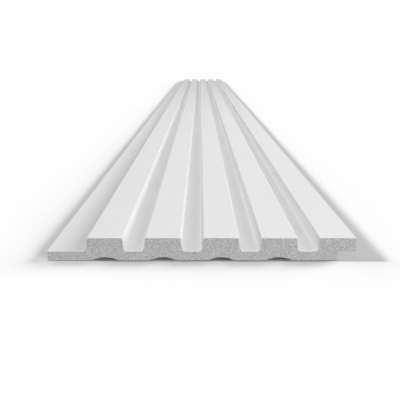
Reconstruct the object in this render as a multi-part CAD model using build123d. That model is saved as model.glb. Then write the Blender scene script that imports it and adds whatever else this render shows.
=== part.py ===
from build123d import *
import os
from math import radians, tan

# Slatted wall panel: one extruded length of rigid polystyrene foam, lying on its back with the ribs up.
# X runs across the ribs, Y along the panel, and Z from the wall to the room.
# All lengths are in millimetres and angles in degrees.

# Overall sizes
panel_length = 2700.0
panel_thickness = 12.0
rib_count = 5
rib_pitch = 30.0

# Channels between the ribs: flat floor, drafted walls, filleted roots and rounded rib arrises
channel_floor_width = 10.0
channel_depth = 7.0
wall_draft = 5.0
root_radius = 1.5
arris_radius = 0.8

# Lap joint: the tongue on the left slides under the lip of the next panel
lap_width = 10.0
lap_clearance = 0.2

# Shallow arched grooves in the back that take the glue
glue_groove_width = 13.0
glue_groove_depth = 1.5
glue_groove_lip_radius = 3.0

# Levels above the wall
floor_level = panel_thickness - channel_depth
lip_underside = floor_level + lap_clearance

# Places across the panel, with the whole width centred on the origin
panel_width = rib_count * rib_pitch + lap_width - lap_clearance
tongue_edge = -panel_width / 2
lip_edge = panel_width / 2
shoulder = lip_edge - lap_width
rib_half_root = (rib_pitch - channel_floor_width) / 2
rib_half_top = rib_half_root - channel_depth * tan(radians(wall_draft))
last_rib_centre = lip_edge - rib_half_root
full_rib_centres = [last_rib_centre - rib_pitch * steps for steps in range(rib_count - 1, 0, -1)]

# A circle through both edges of a glue groove and its deepest point
glue_groove_radius = (glue_groove_width**2 / 4 + glue_groove_depth**2) / (2 * glue_groove_depth)


def rib_corners(centre):
    """Corners of a rib with two drafted walls, from its left root to its right root."""
    return [
        (centre - rib_half_root, floor_level),
        (centre - rib_half_top, panel_thickness),
        (centre + rib_half_top, panel_thickness),
        (centre + rib_half_root, floor_level),
    ]


def lapped_rib_corners(centre):
    """Corners of the last rib: a drafted wall on the left, a square lip with a rebate under it on the right."""
    return [
        (centre - rib_half_root, floor_level),
        (centre - rib_half_top, panel_thickness),
        (lip_edge, panel_thickness),
        (lip_edge, lip_underside),
        (shoulder, lip_underside),
        (shoulder, 0),
    ]


def panel_corners():
    """Sharp corners of the whole section, from the tongue over the ribs to the lip."""
    corners = [(tongue_edge, 0), (tongue_edge, floor_level)]
    for centre in full_rib_centres:
        corners += rib_corners(centre)
    return corners + lapped_rib_corners(last_rib_centre)


with BuildPart() as wall_panel:
    with BuildSketch(Plane.XZ) as section:
        with BuildLine():
            Polyline(*panel_corners(), close=True)
        make_face()

        # Fillets where the channel walls and the first rib meet the floors
        floor_corners = section.vertices().filter_by_position(Axis.Y, floor_level, floor_level)
        fillet(floor_corners.filter_by_position(Axis.X, tongue_edge, shoulder, (False, False)), root_radius)

        # Rounded arrises along both edges of every rib
        fillet(section.vertices().group_by(Axis.Y)[-1], arris_radius)

        # Glue grooves under the full ribs, with soft lips; the two outer corners of the back stay sharp
        with Locations([(centre, glue_groove_depth - glue_groove_radius) for centre in full_rib_centres]):
            Circle(glue_groove_radius, mode=Mode.SUBTRACT)
        back_corners = section.vertices().group_by(Axis.Y)[0].sort_by(Axis.X)
        fillet(back_corners[1:-1], glue_groove_lip_radius)
    extrude(amount=panel_length / 2, both=True)

os.makedirs("parts", exist_ok=True)
export_step(wall_panel.part, "parts/wall_panel.step")
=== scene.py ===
import math
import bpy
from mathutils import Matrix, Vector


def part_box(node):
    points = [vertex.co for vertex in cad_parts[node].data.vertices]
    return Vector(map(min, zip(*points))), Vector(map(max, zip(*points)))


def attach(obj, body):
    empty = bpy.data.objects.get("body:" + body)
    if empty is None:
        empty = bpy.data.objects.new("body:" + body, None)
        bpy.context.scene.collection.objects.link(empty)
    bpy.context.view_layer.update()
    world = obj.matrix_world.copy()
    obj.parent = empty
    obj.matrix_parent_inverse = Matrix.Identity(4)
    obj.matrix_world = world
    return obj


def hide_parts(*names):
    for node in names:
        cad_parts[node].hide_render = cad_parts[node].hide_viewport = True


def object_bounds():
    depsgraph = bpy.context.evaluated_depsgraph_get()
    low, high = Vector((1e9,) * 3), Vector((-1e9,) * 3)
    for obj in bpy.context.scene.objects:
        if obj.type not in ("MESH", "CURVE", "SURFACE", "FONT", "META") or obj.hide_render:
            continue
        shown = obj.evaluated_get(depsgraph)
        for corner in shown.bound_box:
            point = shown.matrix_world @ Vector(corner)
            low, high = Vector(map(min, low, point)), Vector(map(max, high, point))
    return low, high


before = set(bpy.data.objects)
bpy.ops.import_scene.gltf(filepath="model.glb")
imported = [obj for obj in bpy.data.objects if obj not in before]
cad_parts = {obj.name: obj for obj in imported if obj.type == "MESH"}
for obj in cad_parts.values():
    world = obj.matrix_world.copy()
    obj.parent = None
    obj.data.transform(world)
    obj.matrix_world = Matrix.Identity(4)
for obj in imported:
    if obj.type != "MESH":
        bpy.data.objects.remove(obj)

from types import SimpleNamespace

import bmesh
import bpy
from bpy.props import FloatProperty, IntProperty, PointerProperty, StringProperty
from mathutils import Vector

bl_info = {
    "name": "Slatted Wall Panel",
    "version": (1, 0, 0),
    "blender": (4, 5, 0),
    "location": "3D View > Sidebar > Wall Panel",
    "description": "Models a ribbed foam wall panel with lap edges and sawn ends on a pale studio floor",
    "category": "Add Mesh",
}

MM = 0.001
NODE = "wall_panel"
PIECE = "slatted_panel"
BODY = "root"

# Places that lie closer together than this count as the same.
TOLERANCE = 0.01 * MM
# Corners this close to an outer edge of the section aren't rounded along with the inner ones.
MARGIN = 1 * MM
ROOT_SEGMENTS = 8
ARRIS_SEGMENTS = 6
GROOVE_LIP_SEGMENTS = 4
# Flats on each half of a glue groove's arch.
GROOVE_STEPS = 7
# Faces that turn less than the first angle are merged, and edges that turn more than the second stay sharp.
MERGE_ANGLE = math.radians(0.5)
SHARP_ANGLE = math.radians(40)
# Share of the texture map's height that a sawn end's band takes, and how much of its band the end fills.
END_BAND = 0.09
END_FILL = 0.9

cad_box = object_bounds()
node_low, node_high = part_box(NODE)


class PanelSizes(bpy.types.PropertyGroup):
    """Sizes of the foam panel"""

    length: FloatProperty(
        name="Length", description="Length of the panel along its ribs", unit="LENGTH",
        default=node_high[1] - node_low[1])
    thickness: FloatProperty(
        name="Thickness", description="From the back to the top of the ribs", unit="LENGTH",
        default=node_high[2] - node_low[2])
    rib_count: IntProperty(name="Ribs", description="Number of ribs side by side", default=5)
    rib_pitch: FloatProperty(
        name="Rib pitch", description="From the middle of one rib to the next", unit="LENGTH",
        default=30 * MM)
    channel_floor: FloatProperty(
        name="Channel floor", description="Width of a channel at its floor, before filleting",
        unit="LENGTH", default=10 * MM)
    channel_depth: FloatProperty(
        name="Channel depth", description="From the top of the ribs to the channel floors", unit="LENGTH",
        default=7 * MM)
    wall_draft: FloatProperty(
        name="Wall draft", description="Lean of the channel walls", unit="ROTATION",
        default=math.radians(5))
    root_radius: FloatProperty(
        name="Root radius", description="Fillet where a wall meets a floor", unit="LENGTH",
        default=1.5 * MM)
    arris_radius: FloatProperty(
        name="Arris radius", description="Rounding along the edges of the ribs", unit="LENGTH",
        default=0.8 * MM)
    lap_width: FloatProperty(
        name="Lap", description="How far the lip reaches over the next panel's tongue", unit="LENGTH",
        default=10 * MM)
    lap_clearance: FloatProperty(
        name="Lap clearance", description="Room between tongue and rebate", unit="LENGTH", default=0.2 * MM)
    groove_width: FloatProperty(
        name="Glue groove width", description="Width of a glue groove at the back", unit="LENGTH",
        default=13 * MM)
    groove_depth: FloatProperty(
        name="Glue groove depth", description="Height of a glue groove's arch", unit="LENGTH",
        default=1.5 * MM)
    groove_lip_radius: FloatProperty(
        name="Glue groove lip radius", description="Rounding of a glue groove's lips", unit="LENGTH",
        default=3 * MM)
    bay: FloatProperty(
        name="Bay", description="Spacing of the cross cuts along the length", unit="LENGTH",
        default=90 * MM)
    edge_break: FloatProperty(
        name="Edge break", description="Fine chamfer round a sawn end", unit="LENGTH", default=0.3 * MM)
    sawn_rim: FloatProperty(
        name="Sawn rim", description="Width of the unbroken edge round a sawn end", unit="LENGTH",
        default=0.2 * MM)
    sawn_grid: FloatProperty(
        name="Sawn grid", description="Spacing of the cuts across a sawn end", unit="LENGTH",
        default=0.5 * MM)
    cell_size: FloatProperty(
        name="Foam cell", description="Size of the foam cells laid open by the saw", unit="LENGTH",
        default=0.32 * MM)
    cell_depth: FloatProperty(
        name="Foam cell depth", description="Depth of the cells laid open by the saw", unit="LENGTH",
        default=0.2 * MM)


class PanelColours(bpy.types.PropertyGroup):
    """Colours of the panel and the floor, as sRGB hex values"""

    primer: StringProperty(name="Primer", description="Matte priming coat on the faces", default="F0F0F0")
    primer_shade: StringProperty(
        name="Primer shade", description="Thinner patches of the coat", default="EDEDED")
    # The foam tones are greyer than bare foam, which paints shade over the sawn ends; the pit tone is
    # painted shade for the cells' hollows.
    foam: StringProperty(name="Foam", description="Walls of the foam cells on a sawn end", default="EAEAEA")
    pit_painted_shade: StringProperty(name="Painted pit shade", description="Hollows of the foam cells", default="B6B6B6")
    floor: StringProperty(name="Floor", description="Studio floor", default="D4D4D4")


def linear(code):
    """Linear colour with alpha from an sRGB hex value."""
    shares = [int(code[i:i + 2], 16) / 255 for i in (0, 2, 4)]
    return [s / 12.92 if s <= 0.04045 else ((s + 0.055) / 1.055) ** 2.4 for s in shares] + [1.0]


def places(sizes):
    """Levels and places across the section, worked out from the panel's sizes."""
    p = SimpleNamespace()
    p.near_end = node_low[1]
    p.floor_level = sizes.thickness - sizes.channel_depth
    p.lip_underside = p.floor_level + sizes.lap_clearance
    width = sizes.rib_count * sizes.rib_pitch + sizes.lap_width - sizes.lap_clearance
    p.tongue_edge = -width / 2
    p.lip_edge = width / 2
    p.shoulder = p.lip_edge - sizes.lap_width
    p.half_root = (sizes.rib_pitch - sizes.channel_floor) / 2
    p.wall_run = sizes.channel_depth * math.tan(sizes.wall_draft)
    last_centre = p.lip_edge - p.half_root
    p.centres = [last_centre - sizes.rib_pitch * (sizes.rib_count - 1 - i) for i in range(sizes.rib_count)]
    p.groove_radius = (sizes.groove_width**2 / 4 + sizes.groove_depth**2) / (2 * sizes.groove_depth)
    return p


def near(a, b):
    """Whether two lengths are the same."""
    return abs(a - b) < TOLERANCE


def pick(piece, kind, test):
    """In edit mode, select the verts, edges or faces whose middle passes the test, and nothing else."""
    bpy.ops.mesh.select_mode(type={"verts": "VERT", "edges": "EDGE", "faces": "FACE"}[kind])
    bpy.ops.mesh.select_all(action="DESELECT")
    shape = bmesh.from_edit_mesh(piece.data)
    for part in getattr(shape, kind):
        middle = part.co if kind == "verts" else sum((v.co for v in part.verts), Vector()) / len(part.verts)
        part.select_set(test(middle))
    shape.select_flush_mode()
    bmesh.update_edit_mesh(piece.data)


def cut_all(point, normal):
    """Cut everything that shows in edit mode with a plane."""
    bpy.ops.mesh.select_all(action="SELECT")
    bpy.ops.mesh.bisect(plane_co=point, plane_no=normal)


def round_corners(piece, test, tangent, segments):
    """Round the section's corners that pass the test, from this far before a corner to as far after it."""
    pick(piece, "verts", test)
    bpy.ops.mesh.bevel(offset=tangent, segments=segments, affect="VERTICES", profile=0.5)


def draw_slab(sizes, p):
    """Start the section as a flat slab at the near end, from tongue to rebate, up to the channel floors."""
    bpy.ops.object.select_all(action="DESELECT")
    middle = ((p.tongue_edge + p.shoulder) / 2, p.near_end + sizes.edge_break, p.floor_level / 2)
    bpy.ops.mesh.primitive_plane_add(size=1, calc_uvs=False, location=middle, rotation=(math.pi / 2, 0, 0))
    piece = bpy.context.active_object
    piece.name = piece.data.name = PIECE
    piece.scale = (p.shoulder - p.tongue_edge, p.floor_level, 1)
    bpy.ops.object.transform_apply(location=True, rotation=True, scale=True)
    return piece


def raise_ribs(piece, sizes, p):
    """Raise the ribs from the slab, lean their walls and draw the lip out of the last one."""
    last = p.centres[-1]
    for centre in p.centres:
        cut_all((centre - p.half_root, 0, 0), (1, 0, 0))
        if centre != last:
            cut_all((centre + p.half_root, 0, 0), (1, 0, 0))
    pick(piece, "edges", lambda m: near(m.z, p.floor_level)
         and any(abs(m.x - centre) < p.half_root for centre in p.centres))
    bpy.ops.mesh.extrude_edges_move(TRANSFORM_OT_translate={"value": (0, 0, sizes.channel_depth)})
    pick(piece, "verts", lambda m: near(m.z, sizes.thickness)
         and any(near(m.x, centre - p.half_root) for centre in p.centres))
    bpy.ops.transform.translate(value=(p.wall_run, 0, 0))
    pick(piece, "verts", lambda m: near(m.z, sizes.thickness)
         and any(near(m.x, centre + p.half_root) for centre in p.centres[:-1]))
    bpy.ops.transform.translate(value=(-p.wall_run, 0, 0))
    cut_all((0, 0, p.lip_underside), (0, 0, 1))
    pick(piece, "edges", lambda m: near(m.x, p.shoulder) and m.z > p.lip_underside)
    bpy.ops.mesh.extrude_edges_move(TRANSFORM_OT_translate={"value": (sizes.lap_width, 0, 0)})


def arch_grooves(piece, sizes, p):
    """Push the back up into shallow round arches under the full ribs; returns the angle of half an arch."""
    half_angle = math.asin(sizes.groove_width / 2 / p.groove_radius)
    offsets = [p.groove_radius * math.sin(half_angle * i / GROOVE_STEPS)
               for i in range(-GROOVE_STEPS, GROOVE_STEPS + 1)]
    for centre in p.centres[:-1]:
        for offset in offsets:
            cut_all((centre + offset, 0, 0), (1, 0, 0))
    for offset in offsets[1:-1]:
        rise = math.sqrt(p.groove_radius**2 - offset**2) - p.groove_radius + sizes.groove_depth
        pick(piece, "verts", lambda m: near(m.z, 0)
             and any(near(m.x, centre + offset) for centre in p.centres[:-1]))
        bpy.ops.transform.translate(value=(0, 0, rise))
    return half_angle


def round_section(piece, sizes, p, groove_angle):
    """Make the section one face, then round its roots, arrises and groove lips."""
    bpy.ops.mesh.select_mode(type="FACE")
    bpy.ops.mesh.select_all(action="SELECT")
    bpy.ops.mesh.dissolve_limited(angle_limit=MERGE_ANGLE)
    # A corner between a level face and a drafted wall turns a little less than a right angle.
    turn = math.tan((math.pi / 2 - sizes.wall_draft) / 2)
    left, right = p.tongue_edge + MARGIN, p.shoulder - MARGIN
    round_corners(piece, lambda m: near(m.z, p.floor_level) and left < m.x < right,
                  sizes.root_radius * turn, ROOT_SEGMENTS)
    round_corners(piece, lambda m: near(m.z, sizes.thickness) and m.x < p.lip_edge - MARGIN,
                  sizes.arris_radius * turn, ARRIS_SEGMENTS)
    round_corners(piece, lambda m: near(m.z, sizes.thickness) and near(m.x, p.lip_edge),
                  sizes.arris_radius, ARRIS_SEGMENTS)
    round_corners(piece, lambda m: near(m.z, 0) and left < m.x < right,
                  sizes.groove_lip_radius * math.tan(groove_angle / 2), GROOVE_LIP_SEGMENTS)


def key_of(place):
    """A corner's place in the section, to a thousandth of a millimetre."""
    return round(place.x / MM, 3), round(place.z / MM, 3)


def section_girth(piece):
    """Distance round the section of each of its corners, keyed by place, and the whole way round."""
    section, = bmesh.from_edit_mesh(piece.data).faces
    girth, walked = {}, 0.0
    for loop in section.loops:
        girth[key_of(loop.vert.co)] = walked
        walked += loop.edge.calc_length()
    return girth, walked


def run_length(piece, sizes):
    """Extrude the section to the panel's length, cut it into even bays and break the edges of both ends."""
    bpy.ops.mesh.select_mode(type="FACE")
    bpy.ops.mesh.select_all(action="SELECT")
    run = sizes.length - 2 * sizes.edge_break
    bpy.ops.mesh.extrude_region_move(TRANSFORM_OT_translate={"value": (0, run, 0)})
    bpy.ops.mesh.select_all(action="SELECT")
    bpy.ops.mesh.normals_make_consistent(inside=False)
    pick(piece, "edges", lambda m: abs(m.y) < sizes.length / 4)
    bpy.ops.mesh.subdivide(number_cuts=round(sizes.length / sizes.bay) - 1)
    pick(piece, "faces", lambda m: near(abs(m.y), run / 2))
    bpy.ops.mesh.inset(thickness=sizes.edge_break, depth=sizes.edge_break)


def saw_ends(piece, sizes, p):
    """Give both ends the sawn finish and a fine grid, and sink the cut foam cells into it."""
    pick(piece, "faces", lambda m: near(abs(m.y), sizes.length / 2))
    piece.active_material_index = 1
    bpy.ops.object.material_slot_assign()
    bpy.ops.mesh.inset(thickness=sizes.sawn_rim)
    bpy.ops.mesh.hide(unselected=True)
    for i in range(1, math.ceil((p.lip_edge - p.tongue_edge) / sizes.sawn_grid)):
        cut_all((p.tongue_edge + i * sizes.sawn_grid, 0, 0), (1, 0, 0))
    for i in range(1, math.ceil(sizes.thickness / sizes.sawn_grid)):
        cut_all((0, 0, i * sizes.sawn_grid), (0, 0, 1))
    bpy.ops.mesh.select_all(action="SELECT")
    bpy.ops.mesh.subdivide(number_cuts=1)
    piece.vertex_groups.new(name="sawn")
    bpy.ops.mesh.select_all(action="SELECT")
    bpy.ops.object.vertex_group_assign()
    bpy.ops.mesh.reveal(select=False)
    bpy.ops.object.mode_set(mode="OBJECT")

    cells = bpy.data.textures.new("cut_foam_cells", type="VORONOI")
    cells.noise_scale = sizes.cell_size
    sink = piece.modifiers.new("cut_cells", "DISPLACE")
    sink.texture = cells
    sink.texture_coords = "LOCAL"
    sink.vertex_group = "sawn"
    # The pattern is 0 in the middle of a cell and about 0.7 on the walls between cells, which stay level.
    sink.mid_level = 0.7
    sink.strength = sizes.cell_depth / sink.mid_level
    bpy.ops.object.modifier_apply(modifier=sink.name)


def lay_bake_map(piece, sizes, girth, way_round):
    """Lay out the texture map: each sawn end is a wide band, and the long faces unroll above them."""
    low, high = cad_box
    layer = piece.data.uv_layers.new(name="OFBake")
    for face in piece.data.polygons:
        corners = [piece.data.vertices[i].co for i in face.vertices]
        if abs(face.center.y) > sizes.length / 2 - sizes.edge_break:
            base = END_BAND if face.center.y > 0 else 0.0
            spots = [((c.x - low[0]) / (high[0] - low[0]),
                      base + END_FILL * END_BAND * c.z / sizes.thickness) for c in corners]
        else:
            walked = [girth[key_of(c)] for c in corners]
            if max(walked) - min(walked) > way_round / 2:
                walked = [w if w > way_round / 2 else w + way_round for w in walked]
            spots = [((c.y - low[1]) / sizes.length,
                      2 * END_BAND + (1 - 2 * END_BAND) * w / way_round) for c, w in zip(corners, walked)]
        for i, spot in zip(face.loop_indices, spots):
            layer.data[i].uv = [min(max(share, 0.0), 1.0) for share in spot]


def smooth(piece):
    """Shade the rounded edges smoothly and keep the flats flat."""
    bpy.ops.object.shade_smooth_by_angle(angle=SHARP_ANGLE)
    even = piece.modifiers.new("flat_faces", "WEIGHTED_NORMAL")
    even.keep_sharp = True
    bpy.ops.object.modifier_apply(modifier=even.name)


def add_node(tree, kind, inputs, **settings):
    """Add a node with its settings, and set or link its inputs."""
    node = tree.nodes.new(kind)
    for name, value in settings.items():
        setattr(node, name, value)
    for name, value in inputs.items():
        if isinstance(value, bpy.types.NodeSocket):
            tree.links.new(value, node.inputs[name])
        else:
            node.inputs[name].default_value = value
    return node


def new_material(name):
    """A material with an empty node tree, and that tree."""
    material = bpy.data.materials.new(name)
    material.use_nodes = True
    material.node_tree.nodes.clear()
    return material, material.node_tree


def primed_polystyrene(colours):
    """Matte white primer sprayed on extruded polystyrene foam."""
    # The eye sees an even, dull off-white, a faint orange peel about a millimetre across and slightly
    # thinner patches of coat.
    material, tree = new_material("polystyrene_foam_sprayed_primer")
    place = add_node(tree, "ShaderNodeTexCoord", {}).outputs["Object"]
    peel = add_node(tree, "ShaderNodeTexNoise", {"Vector": place, "Scale": 1 / (1.2 * MM), "Detail": 2.0})
    patches = add_node(tree, "ShaderNodeTexNoise", {"Vector": place, "Scale": 1 / (70 * MM), "Detail": 3.0})
    colour = add_node(tree, "ShaderNodeMix", {"Factor": patches.outputs["Fac"]}, data_type="RGBA")
    colour.inputs["A"].default_value = linear(colours.primer)
    colour.inputs["B"].default_value = linear(colours.primer_shade)
    bump = add_node(tree, "ShaderNodeBump", {
        "Height": peel.outputs["Fac"], "Strength": 0.3, "Distance": 0.02 * MM})
    shader = add_node(tree, "ShaderNodeBsdfPrincipled", {
        "Base Color": colour.outputs["Result"], "Roughness": 0.8, "IOR": 1.49,
        "Normal": bump.outputs["Normal"]})
    add_node(tree, "ShaderNodeOutputMaterial", {"Surface": shader.outputs["BSDF"]})
    return material


def sawn_foam(colours, sizes):
    """Bare polystyrene foam as the saw leaves it."""
    # The saw tears the cells open, and each shows either its bright wall or its shaded hollow, so the eye
    # sees a dull grey-white speckle. The colour speckles at random between two tones: the darker pit tone
    # is painted shade for the hollows, and both tones are greyer than bare foam, which paints shade over
    # the whole sawn end. Real cells are about 0.2 mm across, too fine to show, and are drawn coarser.
    material, tree = new_material("polystyrene_foam_sawn")
    place = add_node(tree, "ShaderNodeTexCoord", {}).outputs["Object"]
    cells = add_node(tree, "ShaderNodeTexVoronoi", {"Vector": place, "Scale": 1 / sizes.cell_size})
    shares = add_node(tree, "ShaderNodeMapRange", {
        "Value": cells.outputs["Color"], "From Min": 0.25, "From Max": 0.75})
    colour = add_node(tree, "ShaderNodeMix", {"Factor": shares.outputs["Result"]}, data_type="RGBA")
    colour.inputs["A"].default_value = linear(colours.pit_painted_shade)
    colour.inputs["B"].default_value = linear(colours.foam)
    shader = add_node(tree, "ShaderNodeBsdfPrincipled", {
        "Base Color": colour.outputs["Result"], "Roughness": 0.9, "IOR": 1.59})
    add_node(tree, "ShaderNodeOutputMaterial", {"Surface": shader.outputs["BSDF"]})
    return material


def studio_floor(colours):
    """Matte paint rolled on a plain pale board."""
    # The eye sees one flat pale tone without gloss, which takes the shadows.
    material, tree = new_material("board_matte_paint")
    shader = add_node(tree, "ShaderNodeBsdfPrincipled", {
        "Base Color": linear(colours.floor), "Roughness": 0.9, "Specular IOR Level": 0.0})
    add_node(tree, "ShaderNodeOutputMaterial", {"Surface": shader.outputs["BSDF"]})
    return material


class WALLPANEL_OT_model_panel(bpy.types.Operator):
    """Model the foam panel from its section, with sawn ends and a primed face"""

    bl_idname = "wall_panel.model_panel"
    bl_label = "Model panel"

    def execute(self, context):
        sizes = context.scene.wall_panel_sizes
        colours = context.scene.wall_panel_colours
        p = places(sizes)
        piece = draw_slab(sizes, p)
        piece.data.materials.append(primed_polystyrene(colours))
        piece.data.materials.append(sawn_foam(colours, sizes))
        bpy.ops.object.mode_set(mode="EDIT")
        raise_ribs(piece, sizes, p)
        groove_angle = arch_grooves(piece, sizes, p)
        round_section(piece, sizes, p, groove_angle)
        girth, way_round = section_girth(piece)
        run_length(piece, sizes)
        saw_ends(piece, sizes, p)
        lay_bake_map(piece, sizes, girth, way_round)
        smooth(piece)
        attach(piece, BODY)
        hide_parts(NODE)
        return {"FINISHED"}


class StageSettings(bpy.types.PropertyGroup):
    """Camera, floor and lights"""

    camera_back: FloatProperty(
        name="Camera distance", description="From the near end of the panel back to the camera",
        unit="LENGTH", default=408.2 * MM)
    camera_height: FloatProperty(
        name="Camera height", description="Camera above the floor", unit="LENGTH", default=104.9 * MM)
    camera_side: FloatProperty(
        name="Camera offset", description="Camera to the right of the panel's middle", unit="LENGTH",
        default=-0.9 * MM)
    camera_pitch: FloatProperty(
        name="Camera pitch", description="How far the camera looks down", unit="ROTATION",
        default=math.radians(10.16))
    frame_width: FloatProperty(
        name="Frame width", description="Width of the camera's frame, in millimetres", unit="CAMERA",
        default=36.0)
    lens: FloatProperty(
        name="Lens", description="Focal length of the camera, in millimetres", unit="CAMERA", default=73.18)
    floor_side: FloatProperty(
        name="Floor", description="Side of the square floor", unit="LENGTH", default=60.0)
    overhead: FloatProperty(
        name="Overhead", description="Strength of the light from above on the panel", default=0.6)
    right: FloatProperty(
        name="Right", description="Strength of the light from the right on the panel", default=1.28)
    front_left: FloatProperty(
        name="Front left", description="Strength of the light from the front left on the panel",
        default=1.33)
    front_low: FloatProperty(
        name="Front", description="Strength of the low light from the front on the panel", default=1.15)
    back_low: FloatProperty(
        name="Back", description="Strength of the low light from behind on the panel", default=0.6)
    right_box: FloatProperty(
        name="Right softbox", description="Power of the softbox on the right", unit="POWER", default=8.6)
    front_box: FloatProperty(
        name="Front softbox", description="Power of the small softbox at the front right", unit="POWER",
        default=1.18)
    floor_right: FloatProperty(
        name="Floor from the right", description="Strength of the light from the right on the floor",
        default=4.86)
    floor_behind: FloatProperty(
        name="Floor from behind", description="Strength of the light from behind on the floor",
        default=1.9)
    floor_left: FloatProperty(
        name="Floor from the left", description="Strength of the light from the left on the floor",
        default=3.14)
    floor_front: FloatProperty(
        name="Floor from the front", description="Strength of the light from the front on the floor",
        default=3.41)


def add_sun(name, lit, strength, azimuth, elevation, width):
    """Add a soft light that spans this many degrees.

    An azimuth of 0 is on the camera's side of the panel, and 90 is on its right.
    """
    bpy.ops.object.light_add(
        type="SUN", rotation=(math.radians(90 - elevation), 0, math.radians(azimuth)), location=(0, 0, 3))
    lamp = bpy.context.active_object
    lamp.name = name
    lamp.data.energy = strength
    lamp.data.angle = math.radians(width)
    lamp.light_linking.receiver_collection = lit


def add_softbox(name, lit, power, place, target, side):
    """Add a square softbox that faces the target."""
    turn = (Vector(place) - Vector(target)).to_track_quat("Z", "Y").to_euler()
    bpy.ops.object.light_add(type="AREA", location=place, rotation=turn)
    lamp = bpy.context.active_object
    lamp.name = name
    lamp.data.size = side
    lamp.data.energy = power
    lamp.visible_camera = False
    lamp.light_linking.receiver_collection = lit


def lit_alone(thing):
    """A collection that limits a light to one thing."""
    lit = bpy.data.collections.new(f"{thing.name}_alone")
    lit.objects.link(thing)
    return lit


class WALLPANEL_OT_set_stage(bpy.types.Operator):
    """Lay the floor, place the camera and light the panel"""

    bl_idname = "wall_panel.set_stage"
    bl_label = "Set stage"

    def execute(self, context):
        stage = context.scene.wall_panel_stage
        near_end = node_low[1]
        bpy.ops.object.select_all(action="DESELECT")
        bpy.ops.mesh.primitive_plane_add(size=stage.floor_side)
        floor = bpy.context.active_object
        floor.name = "studio_floor"
        floor.data.materials.append(studio_floor(context.scene.wall_panel_colours))
        # The floor throws no light back, so that a sawn end is as bright at its foot as at its top.
        floor.visible_diffuse = False

        bpy.ops.object.camera_add(
            location=(stage.camera_side, near_end - stage.camera_back, stage.camera_height),
            rotation=(math.pi / 2 - stage.camera_pitch, 0, 0))
        camera = bpy.context.active_object
        camera.data.sensor_fit = "HORIZONTAL"
        camera.data.sensor_width = stage.frame_width
        camera.data.lens = stage.lens
        camera.data.clip_start = 0.01
        camera.data.clip_end = 200
        context.scene.camera = camera

        # The panel and the floor have lights of their own, so that the floor comes out white while the
        # panel keeps its greys.
        floor_alone = lit_alone(floor)
        panel_alone = lit_alone(bpy.data.objects[PIECE])
        add_sun("overhead", panel_alone, stage.overhead, azimuth=0, elevation=90, width=25)
        add_sun("right", panel_alone, stage.right, azimuth=110, elevation=20, width=25)
        add_sun("front_left", panel_alone, stage.front_left, azimuth=315, elevation=40, width=60)
        add_sun("front_low", panel_alone, stage.front_low, azimuth=0, elevation=6, width=25)
        add_sun("back_low", panel_alone, stage.back_low, azimuth=180, elevation=6, width=25)
        add_sun("floor_right", floor_alone, stage.floor_right, azimuth=120, elevation=20, width=25)
        add_sun("floor_behind", floor_alone, stage.floor_behind, azimuth=225, elevation=18, width=40)
        add_sun("floor_left", floor_alone, stage.floor_left, azimuth=260, elevation=35, width=12)
        add_sun("floor_front", floor_alone, stage.floor_front, azimuth=30, elevation=12, width=25)
        # The softboxes face a spot a little way in from the near end.
        target = (0, near_end + 0.3, 0)
        add_softbox("right_softbox", panel_alone, stage.right_box,
                    place=(1.2, near_end + 0.6, 1.0), target=target, side=0.8)
        add_softbox("front_softbox", panel_alone, stage.front_box,
                    place=(0.45, near_end - 0.5, 0.35), target=target, side=0.4)

        # A white backdrop that the camera sees but that gives no light of its own.
        world = bpy.data.worlds.new("white_backdrop")
        world.use_nodes = True
        world.node_tree.nodes.clear()
        seen = add_node(world.node_tree, "ShaderNodeLightPath", {}).outputs["Is Camera Ray"]
        backdrop = add_node(world.node_tree, "ShaderNodeBackground", {
            "Color": (1, 1, 1, 1), "Strength": seen})
        add_node(world.node_tree, "ShaderNodeOutputWorld", {"Surface": backdrop.outputs["Background"]})
        context.scene.world = world
        context.scene.view_settings.view_transform = "Standard"
        return {"FINISHED"}


class WALLPANEL_PT_sidebar(bpy.types.Panel):
    """Sizes, colours and operators of the wall panel"""

    bl_idname = "WALLPANEL_PT_sidebar"
    bl_label = "Wall Panel"
    bl_space_type = "VIEW_3D"
    bl_region_type = "UI"
    bl_category = "Wall Panel"

    def draw(self, context):
        groups = (
            (context.scene.wall_panel_sizes, None),
            (context.scene.wall_panel_colours, WALLPANEL_OT_model_panel),
            (context.scene.wall_panel_stage, WALLPANEL_OT_set_stage),
        )
        for group, operator in groups:
            box = self.layout.box()
            for name in group.__annotations__:
                box.prop(group, name)
            if operator:
                self.layout.operator(operator.bl_idname)


classes = (
    PanelSizes,
    PanelColours,
    StageSettings,
    WALLPANEL_OT_model_panel,
    WALLPANEL_OT_set_stage,
    WALLPANEL_PT_sidebar,
)


def register():
    for kind in classes:
        bpy.utils.register_class(kind)
    bpy.types.Scene.wall_panel_sizes = PointerProperty(type=PanelSizes)
    bpy.types.Scene.wall_panel_colours = PointerProperty(type=PanelColours)
    bpy.types.Scene.wall_panel_stage = PointerProperty(type=StageSettings)


def unregister():
    del bpy.types.Scene.wall_panel_stage
    del bpy.types.Scene.wall_panel_colours
    del bpy.types.Scene.wall_panel_sizes
    for kind in reversed(classes):
        bpy.utils.unregister_class(kind)


def main():
    register()
    bpy.ops.wall_panel.model_panel()
    bpy.ops.wall_panel.set_stage()


if __name__ == "__main__":
    main()
